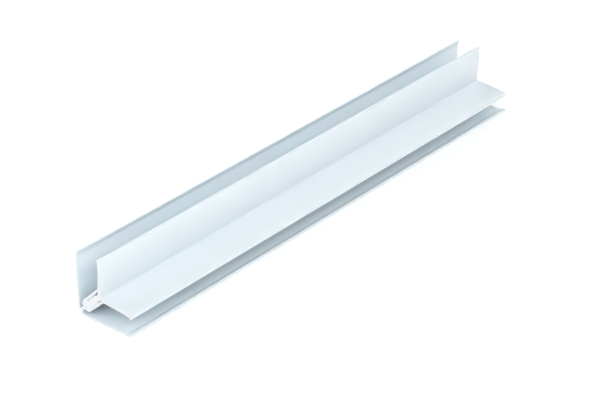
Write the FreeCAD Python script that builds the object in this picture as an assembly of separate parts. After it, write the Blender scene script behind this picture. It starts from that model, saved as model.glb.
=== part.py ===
import FreeCAD, Part
import math
import os

# Corner guard moulding for wall panels, a short length of a two-part plastic extrusion.
# The back angle is fixed in the corner of the wall. A neck in its inside corner carries a channel.
# The cover angle faces the room, and its barbed tongue is pushed into the channel.
# One panel stands between the two upright legs, the other lies between the two level legs.
# All sizes are in millimetres and angles in degrees.
# The section is drawn from the moulding's outer corner: u runs away from the wall behind it, z runs up.

# Sawn length, along X
LENGTH = 300.0

# Back angle
BACK_LEG = 35.0
BACK_WALL = 1.3
BACK_CORNER_RADIUS = 4.4
BACK_TIP_RADIUS = 0.35

# The last stretch of each back leg turns in, to grip the panel
LIP_LENGTH = 2.9
LIP_RISE = 1.1
LIP_BEND_RADIUS = 8.0
LIP_CREASE_RADIUS = 1.5

# The channel's axis leans from the corner's diagonal towards the level leg, and would cross it this far out
CHANNEL_LEAN = 1.5
AXIS_CROSSING = 28.0

# Channel, with its floor's underside this far from the outer corner. Its walls open towards the mouth.
CHANNEL_START = 6.5
CHANNEL_FLOOR = 1.0
CHANNEL_WALL = 1.0
CHANNEL_GAP = 4.45
CHANNEL_DRAFT = 0.9
CHANNEL_CORNER_RADIUS = 2.8
CHANNEL_EDGE_RADIUS = 0.15

# Neck that carries the channel, flared at its foot, which is sunk in the corner of the back angle
NECK_WIDTH = 1.5
NECK_FOOT_WIDTH = 3.0
NECK_FOOT_HEIGHT = 1.3
NECK_FOOT_SINK = 0.15
NECK_BLEND_RADIUS = 1.2

# Cover angle. Its panel-side corner lies this far out, and beside the tongue's middle on the level side.
COVER_STANDOFF = 18.65
COVER_SHIFT = 0.48
COVER_LEAN = 4.5
COVER_LEG = 21.65
COVER_WALL = 1.3
COVER_VALLEY_RADIUS = 1.0
COVER_EDGE_RADIUS = 0.45

# Each cover leg curves towards the panel, and past the curve it has a beak that presses on it
COVER_CURVE_LENGTH = 4.0
COVER_CURVE_ANGLE = 7.5
BEAK_SETBACK = 0.6
BEAK_HEIGHT = 1.0
BEAK_LENGTH = 1.4
BEAK_TIP_RADIUS = 0.25
BEAK_ROOT_RADIUS = 0.5

# Tongue of the cover, which fills the channel, with barbs along both its sides. The first barb of each side
# lies this deep below the cover's corner.
TONGUE_ROOT_RADIUS = 0.35
TONGUE_NOSE_LENGTH = 0.2
TONGUE_NOSE_RADIUS = 0.15
LEVEL_BARB_DEPTH = 1.0
UPRIGHT_BARB_DEPTH = 0.15
BARB_HEIGHT = 0.7
BARB_PITCH = 2.25
BARB_EDGE_RADIUS = 0.08

# Clearances between the two pieces. The tongue lies along the channel's level wall, with its play above it.
WALL_CLEARANCE = 0.06
TONGUE_PLAY = 0.19
TOOTH_CLEARANCE = 0.1
TOOTH_TIP_CLEARANCE = 0.16
TONGUE_END_CLEARANCE = 0.35
COVER_CLEARANCE = 0.15

# The two sides of the section: the standing panel's and the lying panel's
UPRIGHT = 1
LEVEL = -1

# Teeth inside the channel, one behind each barb, with their long slopes along the barbs' slopes
TOOTH_HEIGHT = WALL_CLEARANCE + BARB_HEIGHT - TOOTH_TIP_CLEARANCE
TOOTH_LENGTH = BARB_PITCH * TOOTH_HEIGHT / BARB_HEIGHT

HALF_CORNER = math.radians(45.0)
AXIS_ANGLE = HALF_CORNER - math.radians(CHANNEL_LEAN)
COVER_ANGLE = HALF_CORNER - math.radians(COVER_LEAN)
WALL_DRAFT = math.radians(CHANNEL_DRAFT)
CHANNEL_FLOOR_FACE = CHANNEL_START + CHANNEL_FLOOR
TONGUE_TIP = CHANNEL_FLOOR_FACE + TONGUE_END_CLEARANCE
TONGUE_WIDTH = CHANNEL_GAP - WALL_CLEARANCE - TONGUE_PLAY - 2 * BARB_HEIGHT
TONGUE_MIDDLE = WALL_CLEARANCE + BARB_HEIGHT + TONGUE_WIDTH / 2


def section_point(u, z):
    """A point of the section, from its distance to the wall behind and its height."""
    return FreeCAD.Vector(0, -u, z)


def section_direction(angle):
    """A direction in the section, by its angle above the level leg."""
    return section_point(math.cos(angle), math.sin(angle))


def channel_point(along, across):
    """A point by its place along the channel's axis and across it, positive towards the upright leg."""
    crossing = AXIS_CROSSING * math.sqrt(0.5)
    forward = section_direction(AXIS_ANGLE) * (along - AXIS_CROSSING)
    sideways = section_direction(AXIS_ANGLE + 2 * HALF_CORNER) * across
    return section_point(crossing, crossing) + forward + sideways


def wall_point(side, along, inward):
    """A point by a channel wall: along the wall, and inward from its inner face."""
    beyond = along - CHANNEL_FLOOR_FACE
    across = CHANNEL_GAP / 2 + beyond * math.sin(WALL_DRAFT) - inward * math.cos(WALL_DRAFT)
    rise = beyond * math.cos(WALL_DRAFT) + inward * math.sin(WALL_DRAFT)
    return channel_point(CHANNEL_FLOOR_FACE + rise, side * across)


def tongue_point(along, across):
    """A point of the tongue, which lies along the level wall, by its distance from the tongue's middle."""
    return wall_point(LEVEL, along, TONGUE_MIDDLE + across)


def back_leg_point(side, along, inward):
    """A point of a back leg: along it from the outer corner, and inward from its outer face."""
    if side == UPRIGHT:
        return section_point(inward, along)
    return section_point(along, inward)


def cover_leg_point(side, along, outward):
    """A point of a cover leg: along it from the panel-side corner, and outward to the room."""
    forward = section_direction(COVER_ANGLE + side * HALF_CORNER) * along
    to_room = section_direction(COVER_ANGLE - side * HALF_CORNER) * outward
    return tongue_point(COVER_STANDOFF, -COVER_SHIFT) + forward + to_room


def crossing_point(first, second):
    """Where two lines of the section cross, each given by two of its points."""
    first_way = first[1] - first[0]
    second_way = second[1] - second[0]
    share = (second[0] - first[0]).cross(second_way).x / first_way.cross(second_way).x
    return first[0] + first_way * share


def panel_face(side, clearance):
    """The line of a cover leg's panel face, or one beside it on the panel's side."""
    return cover_leg_point(side, 0, -clearance), cover_leg_point(side, COVER_LEG, -clearance)


def wall_end(side, inward):
    """Where a channel wall ends, this far inward from its inner face, to stay clear of the cover leg."""
    wall_line = wall_point(side, CHANNEL_FLOOR_FACE, inward), wall_point(side, COVER_STANDOFF, inward)
    return crossing_point(wall_line, panel_face(side, COVER_CLEARANCE))


def tongue_root(side):
    """Where a side of the tongue meets the cover leg."""
    across = side * TONGUE_WIDTH / 2
    tongue_line = tongue_point(TONGUE_TIP, across), tongue_point(COVER_STANDOFF, across)
    return crossing_point(tongue_line, panel_face(side, 0))


def barb_places(side):
    """Where the steep shoulders of one side's barbs lie along the tongue, from the mouth to the nose."""
    depth = UPRIGHT_BARB_DEPTH if side == UPRIGHT else LEVEL_BARB_DEPTH
    first = COVER_STANDOFF - depth
    room = first - TONGUE_TIP - TONGUE_NOSE_LENGTH
    return [first - number * BARB_PITCH for number in range(int(room / BARB_PITCH))]


def rounded_outline(corners):
    """A closed wire through the corners, each a point and the radius of the arc that rounds it."""
    starts = []
    ends = []
    middles = []
    for number, (point, radius) in enumerate(corners):
        before = (corners[number - 1][0] - point).normalize()
        after = (corners[(number + 1) % len(corners)][0] - point).normalize()
        half_angle = before.getAngle(after) / 2
        setback = radius / math.tan(half_angle)
        starts.append(point + before * setback)
        ends.append(point + after * setback)
        inward = (before + after).normalize()
        middles.append(point + inward * (radius / math.sin(half_angle) - radius))
    edges = []
    for number, (point, radius) in enumerate(corners):
        edges.append(Part.LineSegment(ends[number - 1], starts[number]).toShape())
        if radius > 0:
            edges.append(Part.Arc(starts[number], middles[number], ends[number]).toShape())
    return Part.Wire(edges)


def back_leg(side):
    """Corners of a back leg, out along its outer face, round its lip and back along its inner face."""
    lip_angle = math.atan2(LIP_RISE, LIP_LENGTH)
    tip_along = BACK_LEG - BACK_WALL * math.sin(lip_angle)
    tip_inward = LIP_RISE + BACK_WALL * math.cos(lip_angle)
    bend = BACK_LEG - LIP_LENGTH
    crease = bend - BACK_WALL * math.tan(lip_angle / 2)
    return [
        (back_leg_point(side, bend, 0), LIP_BEND_RADIUS),
        (back_leg_point(side, BACK_LEG, LIP_RISE), BACK_TIP_RADIUS),
        (back_leg_point(side, tip_along, tip_inward), BACK_TIP_RADIUS),
        (back_leg_point(side, crease, BACK_WALL), LIP_CREASE_RADIUS),
    ]


def legs_outline():
    """The two back legs with the corner between them."""
    outer_corner = [(section_point(0, 0), BACK_CORNER_RADIUS)]
    inner_corner = [(section_point(BACK_WALL, BACK_WALL), BACK_CORNER_RADIUS - BACK_WALL)]
    return rounded_outline(outer_corner + back_leg(LEVEL) + inner_corner + back_leg(UPRIGHT)[::-1])


def neck_outline():
    """The neck, from inside the back angle's corner to inside the channel's floor."""
    corner_face = BACK_CORNER_RADIUS * (math.sqrt(2) - 1) + BACK_WALL
    foot = corner_face - NECK_FOOT_SINK
    waist = foot + NECK_FOOT_HEIGHT
    top = CHANNEL_START + CHANNEL_FLOOR / 2
    level_half = [
        (channel_point(foot, -NECK_FOOT_WIDTH / 2), 0),
        (channel_point(waist, -NECK_WIDTH / 2), NECK_BLEND_RADIUS),
        (channel_point(top, -NECK_WIDTH / 2), 0),
    ]
    upright_half = [
        (channel_point(top, NECK_WIDTH / 2), 0),
        (channel_point(waist, NECK_WIDTH / 2), NECK_BLEND_RADIUS),
        (channel_point(foot, NECK_FOOT_WIDTH / 2), 0),
    ]
    return rounded_outline(level_half + upright_half)


def channel_teeth(side):
    """Corners of the teeth on one channel wall, from the mouth down, each facing a barb's shoulder."""
    corners = []
    for shoulder in barb_places(side):
        face = shoulder + TOOTH_CLEARANCE
        corners.append((wall_point(side, face + TOOTH_LENGTH, 0), 0))
        corners.append((wall_point(side, face, TOOTH_HEIGHT), BARB_EDGE_RADIUS))
        corners.append((wall_point(side, face, 0), 0))
    return corners


def channel_side(side):
    """Corners of one side of the channel: its outer corner, its wall's end, its teeth and its floor."""
    outer_corner = (wall_point(side, CHANNEL_START, -CHANNEL_WALL), CHANNEL_CORNER_RADIUS)
    outer_end = (wall_end(side, -CHANNEL_WALL), CHANNEL_EDGE_RADIUS)
    inner_end = (wall_end(side, 0), CHANNEL_EDGE_RADIUS)
    floor_corner = (wall_point(side, CHANNEL_FLOOR_FACE, 0), CHANNEL_CORNER_RADIUS - CHANNEL_WALL)
    return [outer_corner, outer_end, inner_end] + channel_teeth(side) + [floor_corner]


def channel_outline():
    """The channel that the tongue sits in."""
    return rounded_outline(channel_side(LEVEL) + channel_side(UPRIGHT)[::-1])


def cover_leg(side):
    """Corners of a cover leg, out along its room face, round its beak and back along its panel face."""
    turn = math.radians(COVER_CURVE_ANGLE)
    room_radius = COVER_CURVE_LENGTH / turn
    bend = COVER_LEG - BEAK_LENGTH - BEAK_SETBACK - COVER_CURVE_LENGTH / 2
    reach = COVER_LEG - bend
    panel_bend = bend - COVER_WALL * math.tan(turn / 2)

    def tip_point(back, panelward):
        """A point of the tip, back from its end and from its room face towards the panel."""
        along = bend + (reach - back) * math.cos(turn) - panelward * math.sin(turn)
        outward = COVER_WALL - (reach - back) * math.sin(turn) - panelward * math.cos(turn)
        return cover_leg_point(side, along, outward)

    return [
        (cover_leg_point(side, bend, COVER_WALL), room_radius),
        (tip_point(0, 0), COVER_EDGE_RADIUS),
        (tip_point(0, COVER_WALL + BEAK_HEIGHT), BEAK_TIP_RADIUS),
        (tip_point(BEAK_LENGTH, COVER_WALL), BEAK_ROOT_RADIUS),
        (cover_leg_point(side, panel_bend, 0), room_radius - COVER_WALL),
    ]


def tongue_side(side):
    """Corners of one side of the tongue, from the cover leg down to the nose."""
    core = side * TONGUE_WIDTH / 2
    crest = side * (TONGUE_WIDTH / 2 + BARB_HEIGHT)
    corners = [(tongue_root(side), TONGUE_ROOT_RADIUS)]
    for shoulder in barb_places(side):
        corners.append((tongue_point(shoulder, core), 0))
        corners.append((tongue_point(shoulder, crest), BARB_EDGE_RADIUS))
    flank_end = barb_places(side)[-1] - BARB_PITCH
    corners.append((tongue_point(flank_end, core), 0))
    corners.append((tongue_point(TONGUE_TIP, core), TONGUE_NOSE_RADIUS))
    return corners


def cover_outline():
    """The cover angle's two legs and its tongue."""
    valley = [(cover_leg_point(LEVEL, COVER_WALL, COVER_WALL), COVER_VALLEY_RADIUS)]
    level_half = cover_leg(LEVEL) + tongue_side(LEVEL)
    upright_half = cover_leg(UPRIGHT) + tongue_side(UPRIGHT)
    return rounded_outline(valley + level_half + upright_half[::-1])


def extruded(outline):
    """The solid of a section along the moulding's length."""
    return Part.Face(outline).extrude(FreeCAD.Vector(LENGTH, 0, 0))


def back_angle():
    """The legs, the neck and the channel, which are one extrusion."""
    joined = extruded(legs_outline()).fuse([extruded(neck_outline()), extruded(channel_outline())])
    return joined.removeSplitter().Solids[0]


def cover_angle():
    """The legs and the tongue, which are one extrusion."""
    return extruded(cover_outline())


def centred(pieces):
    """The pieces moved together, so that the middle of their footprint is at the origin."""
    bounds = Part.makeCompound(list(pieces.values())).optimalBoundingBox()
    middle = FreeCAD.Vector(bounds.Center.x, bounds.Center.y, bounds.ZMin)
    return {name: piece.translated(-middle) for name, piece in pieces.items()}


pieces = centred({"back_angle": back_angle(), "cover_angle": cover_angle()})

os.makedirs("parts", exist_ok=True)
for name, piece in pieces.items():
    piece.exportStep(os.path.join("parts", name + ".step"))
    print(name, "valid:", piece.isValid(), "volume in mm3:", round(piece.Volume, 1))

gap, _, _ = pieces["back_angle"].distToShape(pieces["cover_angle"])
print("smallest gap between the two pieces in mm:", round(gap, 3))
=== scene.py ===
import bpy
import math
from mathutils import Matrix, Vector


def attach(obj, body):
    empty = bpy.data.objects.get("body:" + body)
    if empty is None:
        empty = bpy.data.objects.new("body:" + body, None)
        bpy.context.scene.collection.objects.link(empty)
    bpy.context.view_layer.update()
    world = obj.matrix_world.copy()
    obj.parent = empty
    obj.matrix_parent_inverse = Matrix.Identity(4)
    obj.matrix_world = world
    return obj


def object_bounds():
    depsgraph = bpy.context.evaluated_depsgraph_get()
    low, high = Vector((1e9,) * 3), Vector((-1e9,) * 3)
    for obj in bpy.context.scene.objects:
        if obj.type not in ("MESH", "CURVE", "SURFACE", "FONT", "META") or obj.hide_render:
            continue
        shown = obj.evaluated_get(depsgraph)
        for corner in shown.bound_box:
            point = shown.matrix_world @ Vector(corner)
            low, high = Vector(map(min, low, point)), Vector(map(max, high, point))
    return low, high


# A short length of white plastic corner moulding, lying on its back leg on a white floor.
# Two extrusions: the back angle, and the cover angle whose tongue is pushed into its channel.
# Everything is in metres. The length runs along X, the wall is behind the part at +Y.

MM = 0.001

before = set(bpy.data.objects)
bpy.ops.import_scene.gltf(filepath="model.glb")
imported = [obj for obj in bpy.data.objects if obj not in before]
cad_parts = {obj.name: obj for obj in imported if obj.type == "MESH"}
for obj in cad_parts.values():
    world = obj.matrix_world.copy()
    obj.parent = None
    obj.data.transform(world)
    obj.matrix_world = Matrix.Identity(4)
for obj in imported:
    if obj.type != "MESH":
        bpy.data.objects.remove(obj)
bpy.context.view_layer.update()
lowest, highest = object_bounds()
near_end_x = lowest.x
far_end_x = highest.x
wall_y = highest.y

# Camera: its angles, and the place of the near end's outer corner in its view
CAMERA_LENS = 129.3
CAMERA_SENSOR = 36.0
CAMERA_CLIP = (0.01, 20.0)
CAMERA_YAW = math.radians(49.96)
CAMERA_PITCH = math.radians(29.01)
CAMERA_ROLL = math.radians(-0.52)
CORNER_RIGHT = -104.61 * MM
CORNER_UP = -53.43 * MM
CORNER_DISTANCE = 1017.5 * MM

# Round lamps: azimuth in degrees, where 0 is in front at -Y and 90 at +X, and power in watts
SOFTBOXES = {
    "front_softbox": (0, 5.3),
    "left_softbox": (315, 5.2),
    "near_end_softbox": (270, 4.9),
    "far_end_softbox": (90, 4.9),
    "back_softbox": (180, 9.0),
}
SOFTBOX_SIZE = 0.9
SOFTBOX_DISTANCE = 1.3
SOFTBOX_ELEVATION = math.radians(42)

FLOOR_REACH = 6.0
FLOOR_ROUGHNESS = 0.9
BACKDROP_SIDES = 48

# The floor glows faintly round the part, and fully beyond the lamps
NEAR_GLOW = 0.2
FAR_GLOW = 1.0
NEAR_GLOW_RADIUS = 0.45
FAR_GLOW_RADIUS = 1.1

WHITE = (1, 1, 1, 1)
BLACK = (0, 0, 0, 1)
FLOOR_PAPER = (0.95, 0.95, 0.95, 1)
DRAWN_DIM = (0.832, 0.912, 0.952, 1)
DRAWN_BRIGHT = (0.852, 0.922, 0.958, 1)
DRAWN_BAND = (0.822, 0.904, 0.946, 1)
SAWN_DIM = (0.86, 0.88, 0.91, 1)
SAWN_BRIGHT = (0.94, 0.95, 0.97, 1)

# Noise patterns: features per metre along X, Y and Z, and levels of detail
DIE_LINES = ((4, 1400, 1400), 3.0)
BROAD_LINES = ((2, 220, 220), 2.0)
CLOUDS = ((14, 45, 45), 2.0)
GRAIN = ((2600, 2600, 2600), 2.0)
SAW_MARKS = ((60, 3800, 190), 4.0)
SAW_MARK_TURN = math.radians(35)
NOISE_ROUGHNESS = 0.55
NOISE_MIDDLE = (0.3, 0.7)

# Finish: the share of the bands' colour, and the lowest and highest roughness
BAND_SHARE = (0.0, 0.35)
DRAWN_ROUGHNESS = (0.30, 0.42)
SAWN_ROUGHNESS = (0.55, 0.75)
SAWN_NORMAL = 0.7
GRAIN_SHARE = 0.25
RELIEF_STRENGTH = 0.5
RELIEF_DEPTH = 0.03 * MM

# Sockets of the Mix node that serve colours, and those that serve values
COLOUR_INPUTS = (6, 7)
COLOUR_OUTPUT = 2
VALUE_INPUTS = (2, 3)
VALUE_OUTPUT = 0

# The smear in the gap round the tongue, in millimetres. Its depths are behind the sawn face.
# Its starts and ends are distances out from the tongue's nose.
SMEAR_DEPTHS = (0.1, 0.4)
SMEAR_START = -0.4
SMEAR_LENGTH = 9.4
LEVEL_BEVEL_END = 1.2
NOSE_BEVEL_END = 0.6

# Its feet and tops are distances from the tongue's level side, towards its upright side
LEVEL_FOOT = -1.0
LEVEL_FOOT_AT_NOSE = -0.2
LEVEL_TOP = 1.4
LEVEL_TOP_AT_NOSE = 1.9
NOSE_FOOT = 1.8
NOSE_TOP = 4.1
NOSE_TOP_AT_BEVEL = 4.0
NOSE_TOP_AT_NOSE = 3.2
BETWEEN_FOOT = 1.2
BETWEEN_TOP = (4.1, 4.2)

# It leaves slits open along the tongue's upright side, the middle of the first this far from the nose
FIRST_SLIT = 3.9
SLIT_PITCH = 2.25
SLIT_OPENING = 1.25


def add_camera():
    """The camera, with the moulding's near outer corner at its measured place in the view."""
    forward = Vector((math.sin(CAMERA_YAW) * math.cos(CAMERA_PITCH),
                      math.cos(CAMERA_YAW) * math.cos(CAMERA_PITCH),
                      -math.sin(CAMERA_PITCH)))
    level_right = Vector((math.cos(CAMERA_YAW), -math.sin(CAMERA_YAW), 0.0))
    level_up = level_right.cross(forward)
    right = level_right * math.cos(CAMERA_ROLL) + level_up * math.sin(CAMERA_ROLL)
    up = level_up * math.cos(CAMERA_ROLL) - level_right * math.sin(CAMERA_ROLL)
    corner = Vector((near_end_x, wall_y, lowest.z))
    place = corner - right * CORNER_RIGHT - up * CORNER_UP - forward * CORNER_DISTANCE
    camera = bpy.data.objects.new("camera", bpy.data.cameras.new("camera"))
    bpy.context.scene.collection.objects.link(camera)
    camera.data.lens = CAMERA_LENS
    camera.data.sensor_width = CAMERA_SENSOR
    camera.data.clip_start, camera.data.clip_end = CAMERA_CLIP
    turn = Matrix((right, up, -forward)).transposed().to_4x4()
    camera.matrix_world = Matrix.Translation(place) @ turn
    bpy.context.scene.camera = camera


def node_tree_of(material):
    """Short ways to add and join the nodes of a material's shader."""
    tree = material.node_tree

    def add(kind, **settings):
        """A new node with its settings."""
        node = tree.nodes.new(kind)
        for name, value in settings.items():
            setattr(node, name, value)
        return node

    def join(source, target):
        """A link from an output to an input."""
        tree.links.new(source, target)

    return add, join


def add_floor():
    """A plain white floor that glows a little, like a lit product table."""
    mesh = bpy.data.meshes.new("floor")
    reach = FLOOR_REACH
    corners = [(-reach, -reach, 0), (reach, -reach, 0), (reach, reach, 0), (-reach, reach, 0)]
    mesh.from_pydata(corners, [], [(0, 1, 2, 3)])
    floor = bpy.data.objects.new("floor", mesh)
    bpy.context.scene.collection.objects.link(floor)
    material = bpy.data.materials.new("floor_paper")
    material.use_nodes = True
    add, join = node_tree_of(material)
    shader = material.node_tree.nodes["Principled BSDF"]
    shader.inputs["Base Color"].default_value = FLOOR_PAPER
    shader.inputs["Roughness"].default_value = FLOOR_ROUGHNESS
    shader.inputs["Specular IOR Level"].default_value = 0.0
    shader.inputs["Emission Color"].default_value = WHITE
    distance = add("ShaderNodeVectorMath", operation="LENGTH")
    join(add("ShaderNodeTexCoord").outputs["Object"], distance.inputs[0])
    glow = add("ShaderNodeMapRange")
    glow.inputs["From Min"].default_value = NEAR_GLOW_RADIUS
    glow.inputs["From Max"].default_value = FAR_GLOW_RADIUS
    glow.inputs["To Min"].default_value = NEAR_GLOW
    glow.inputs["To Max"].default_value = FAR_GLOW
    join(distance.outputs["Value"], glow.inputs["Value"])
    join(glow.outputs["Result"], shader.inputs["Emission Strength"])
    mesh.materials.append(material)


def add_backdrop():
    """A round white wall that only the camera sees, so that low views end in white."""
    mesh = bpy.data.meshes.new("backdrop")
    vertices = []
    faces = []
    for number in range(BACKDROP_SIDES):
        turn = 2 * math.pi * number / BACKDROP_SIDES
        after = (number + 1) % BACKDROP_SIDES
        for height in (0, FLOOR_REACH):
            vertices.append((FLOOR_REACH * math.cos(turn), FLOOR_REACH * math.sin(turn), height))
        faces.append((2 * number, 2 * number + 1, 2 * after + 1, 2 * after))
    mesh.from_pydata(vertices, [], faces)
    backdrop = bpy.data.objects.new("backdrop", mesh)
    bpy.context.scene.collection.objects.link(backdrop)
    backdrop.visible_diffuse = False
    backdrop.visible_glossy = False
    backdrop.visible_shadow = False
    material = bpy.data.materials.new("backdrop_paper")
    material.use_nodes = True
    shader = material.node_tree.nodes["Principled BSDF"]
    shader.inputs["Base Color"].default_value = BLACK
    shader.inputs["Emission Color"].default_value = WHITE
    shader.inputs["Emission Strength"].default_value = FAR_GLOW
    mesh.materials.append(material)


def add_softbox(name, azimuth, power):
    """A round lamp that faces the origin."""
    turn = math.radians(azimuth)
    direction = Vector((math.sin(turn) * math.cos(SOFTBOX_ELEVATION),
                        -math.cos(turn) * math.cos(SOFTBOX_ELEVATION),
                        math.sin(SOFTBOX_ELEVATION)))
    lamp = bpy.data.lights.new(name, "AREA")
    lamp.shape = "DISK"
    lamp.size = SOFTBOX_SIZE
    lamp.energy = power
    softbox = bpy.data.objects.new(name, lamp)
    softbox.rotation_mode = "QUATERNION"
    softbox.rotation_quaternion = direction.to_track_quat("Z", "Y")
    softbox.location = direction * SOFTBOX_DISTANCE
    bpy.context.scene.collection.objects.link(softbox)


def add_lights():
    """Soft studio light from large round lamps around the part. The surround itself is dark."""
    world = bpy.data.worlds.new("surround")
    bpy.context.scene.world = world
    world.use_nodes = True
    world.node_tree.nodes["Background"].inputs["Strength"].default_value = 0.0
    for name, (azimuth, power) in SOFTBOXES.items():
        add_softbox(name, azimuth, power)


def stretched_noise(add, join, coordinates, pattern, turn=0.0):
    """Noise in object space with one of the patterns, turned about X."""
    scale, detail = pattern
    mapping = add("ShaderNodeMapping")
    mapping.inputs["Rotation"].default_value = (turn, 0, 0)
    mapping.inputs["Scale"].default_value = scale
    noise = add("ShaderNodeTexNoise")
    noise.inputs["Scale"].default_value = 1.0
    noise.inputs["Detail"].default_value = detail
    noise.inputs["Roughness"].default_value = NOISE_ROUGHNESS
    join(coordinates, mapping.inputs["Vector"])
    join(mapping.outputs["Vector"], noise.inputs["Vector"])
    return noise.outputs["Fac"]


def ranged(add, join, source, limits):
    """The middle part of a noise, spread over a range of values."""
    spread = add("ShaderNodeMapRange")
    spread.inputs["From Min"].default_value, spread.inputs["From Max"].default_value = NOISE_MIDDLE
    spread.inputs["To Min"].default_value, spread.inputs["To Max"].default_value = limits
    join(source, spread.inputs["Value"])
    return spread.outputs["Result"]


def mixed_colour(add, join, share, first, second):
    """A colour between two, each a fixed colour or an output."""
    mix = add("ShaderNodeMix", data_type="RGBA")
    join(share, mix.inputs[0])
    for value, number in zip((first, second), COLOUR_INPUTS):
        if isinstance(value, tuple):
            mix.inputs[number].default_value = value
        else:
            join(value, mix.inputs[number])
    return mix.outputs[COLOUR_OUTPUT]


def mixed_value(add, join, share, first, second):
    """A value between two outputs."""
    mix = add("ShaderNodeMix", data_type="FLOAT")
    join(share, mix.inputs[0])
    for value, number in zip((first, second), VALUE_INPUTS):
        join(value, mix.inputs[number])
    return mix.outputs[VALUE_OUTPUT]


def plastic_material():
    """White rigid plastic: drawn faces with faint die lines along the length, and sawn ends."""
    material = bpy.data.materials.new("white_plastic")
    material.use_nodes = True
    add, join = node_tree_of(material)
    shader = material.node_tree.nodes["Principled BSDF"]
    coordinates = add("ShaderNodeTexCoord").outputs["Object"]

    # The sawn ends face along X, and everything else was drawn through the die
    normal = add("ShaderNodeSeparateXYZ")
    join(add("ShaderNodeNewGeometry").outputs["True Normal"], normal.inputs["Vector"])
    size = add("ShaderNodeMath", operation="ABSOLUTE")
    join(normal.outputs["X"], size.inputs[0])
    sawn = add("ShaderNodeMath", operation="GREATER_THAN")
    join(size.outputs[0], sawn.inputs[0])
    sawn.inputs[1].default_value = SAWN_NORMAL
    is_sawn = sawn.outputs[0]

    die_lines = stretched_noise(add, join, coordinates, DIE_LINES)
    broad_lines = stretched_noise(add, join, coordinates, BROAD_LINES)
    clouds = stretched_noise(add, join, coordinates, CLOUDS)
    grain = stretched_noise(add, join, coordinates, GRAIN)
    saw_marks = stretched_noise(add, join, coordinates, SAW_MARKS, SAW_MARK_TURN)

    # Colour: near white with clouds and broad, slightly darker bands, chalkier where it was sawn
    drawn_colour = mixed_colour(add, join, clouds, DRAWN_DIM, DRAWN_BRIGHT)
    bands = ranged(add, join, broad_lines, BAND_SHARE)
    banded = mixed_colour(add, join, bands, drawn_colour, DRAWN_BAND)
    sawn_colour = mixed_colour(add, join, saw_marks, SAWN_DIM, SAWN_BRIGHT)
    join(mixed_colour(add, join, is_sawn, banded, sawn_colour), shader.inputs["Base Color"])

    # Gloss: satin, uneven along the die lines, and dull where it was sawn
    drawn_gloss = ranged(add, join, die_lines, DRAWN_ROUGHNESS)
    sawn_gloss = ranged(add, join, saw_marks, SAWN_ROUGHNESS)
    join(mixed_value(add, join, is_sawn, drawn_gloss, sawn_gloss), shader.inputs["Roughness"])

    # Relief: die lines and a fine grain on the drawn faces, saw marks on the ends
    drawn_relief = add("ShaderNodeMath", operation="MULTIPLY_ADD")
    join(grain, drawn_relief.inputs[0])
    drawn_relief.inputs[1].default_value = GRAIN_SHARE
    join(die_lines, drawn_relief.inputs[2])
    relief = mixed_value(add, join, is_sawn, drawn_relief.outputs[0], saw_marks)
    bump = add("ShaderNodeBump")
    bump.inputs["Strength"].default_value = RELIEF_STRENGTH
    bump.inputs["Distance"].default_value = RELIEF_DEPTH
    join(relief, bump.inputs["Height"])
    join(bump.outputs["Normal"], shader.inputs["Normal"])
    return material


def smear_outlines():
    """Outlines of the smear's patches, as distances from the tongue's nose and level side in millimetres."""
    half = SLIT_OPENING / 2
    before_slit = FIRST_SLIT - half
    level_patch = [
        (SMEAR_START, LEVEL_FOOT_AT_NOSE),
        (LEVEL_BEVEL_END, LEVEL_FOOT),
        (SMEAR_LENGTH, LEVEL_FOOT),
        (SMEAR_LENGTH, LEVEL_TOP),
        (NOSE_BEVEL_END, LEVEL_TOP_AT_NOSE),
        (SMEAR_START, LEVEL_TOP_AT_NOSE),
    ]
    nose_patch = [
        (SMEAR_START, NOSE_FOOT),
        (before_slit, NOSE_FOOT),
        (before_slit, NOSE_TOP),
        (NOSE_BEVEL_END, NOSE_TOP_AT_BEVEL),
        (SMEAR_START, NOSE_TOP_AT_NOSE),
    ]
    outlines = [level_patch, nose_patch]
    start = FIRST_SLIT + half
    start_top, end_top = BETWEEN_TOP
    while start < SMEAR_LENGTH:
        end = min(start + SLIT_PITCH - SLIT_OPENING, SMEAR_LENGTH)
        outlines.append([(start, BETWEEN_FOOT), (end, BETWEEN_FOOT), (end, end_top), (start, start_top)])
        start += SLIT_PITCH
    return outlines


def add_saw_smear(name, end_x, inward, material):
    """The thin smear that closes the gap round the tongue, as plates just behind the sawn face."""
    corners = [vertex.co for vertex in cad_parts["cover_angle"].data.vertices]
    level_corner = min(corners, key=lambda corner: corner.z)
    upright_corner = max(corners, key=lambda corner: corner.y)
    across = Vector((0, upright_corner.y - level_corner.y, upright_corner.z - level_corner.z)).normalized()
    along = Vector((0, -across.z, across.y))
    vertices = []
    faces = []
    for outline in smear_outlines():
        first = len(vertices)
        count = len(outline)
        for depth in SMEAR_DEPTHS:
            start = Vector((end_x + inward * depth * MM, level_corner.y, level_corner.z))
            for out, side in outline:
                vertices.append(start + along * out * MM + across * side * MM)
        faces.append(tuple(range(first, first + count)))
        faces.append(tuple(reversed(range(first + count, first + 2 * count))))
        for number in range(count):
            corner = first + number
            after = first + (number + 1) % count
            faces.append((corner, corner + count, after + count, after))
    mesh = bpy.data.meshes.new(name)
    mesh.from_pydata(vertices, [], faces)
    if inward < 0:
        mesh.flip_normals()
    smear = bpy.data.objects.new(name, mesh)
    bpy.context.scene.collection.objects.link(smear)
    mesh.materials.append(material)
    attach(smear, "root")


add_camera()
add_floor()
add_backdrop()
add_lights()
plastic = plastic_material()
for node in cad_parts.values():
    node.data.materials.clear()
    node.data.materials.append(plastic)
add_saw_smear("near_saw_smear", near_end_x, 1, plastic)
add_saw_smear("far_saw_smear", far_end_x, -1, plastic)

bpy.context.scene.view_settings.view_transform = "Standard"
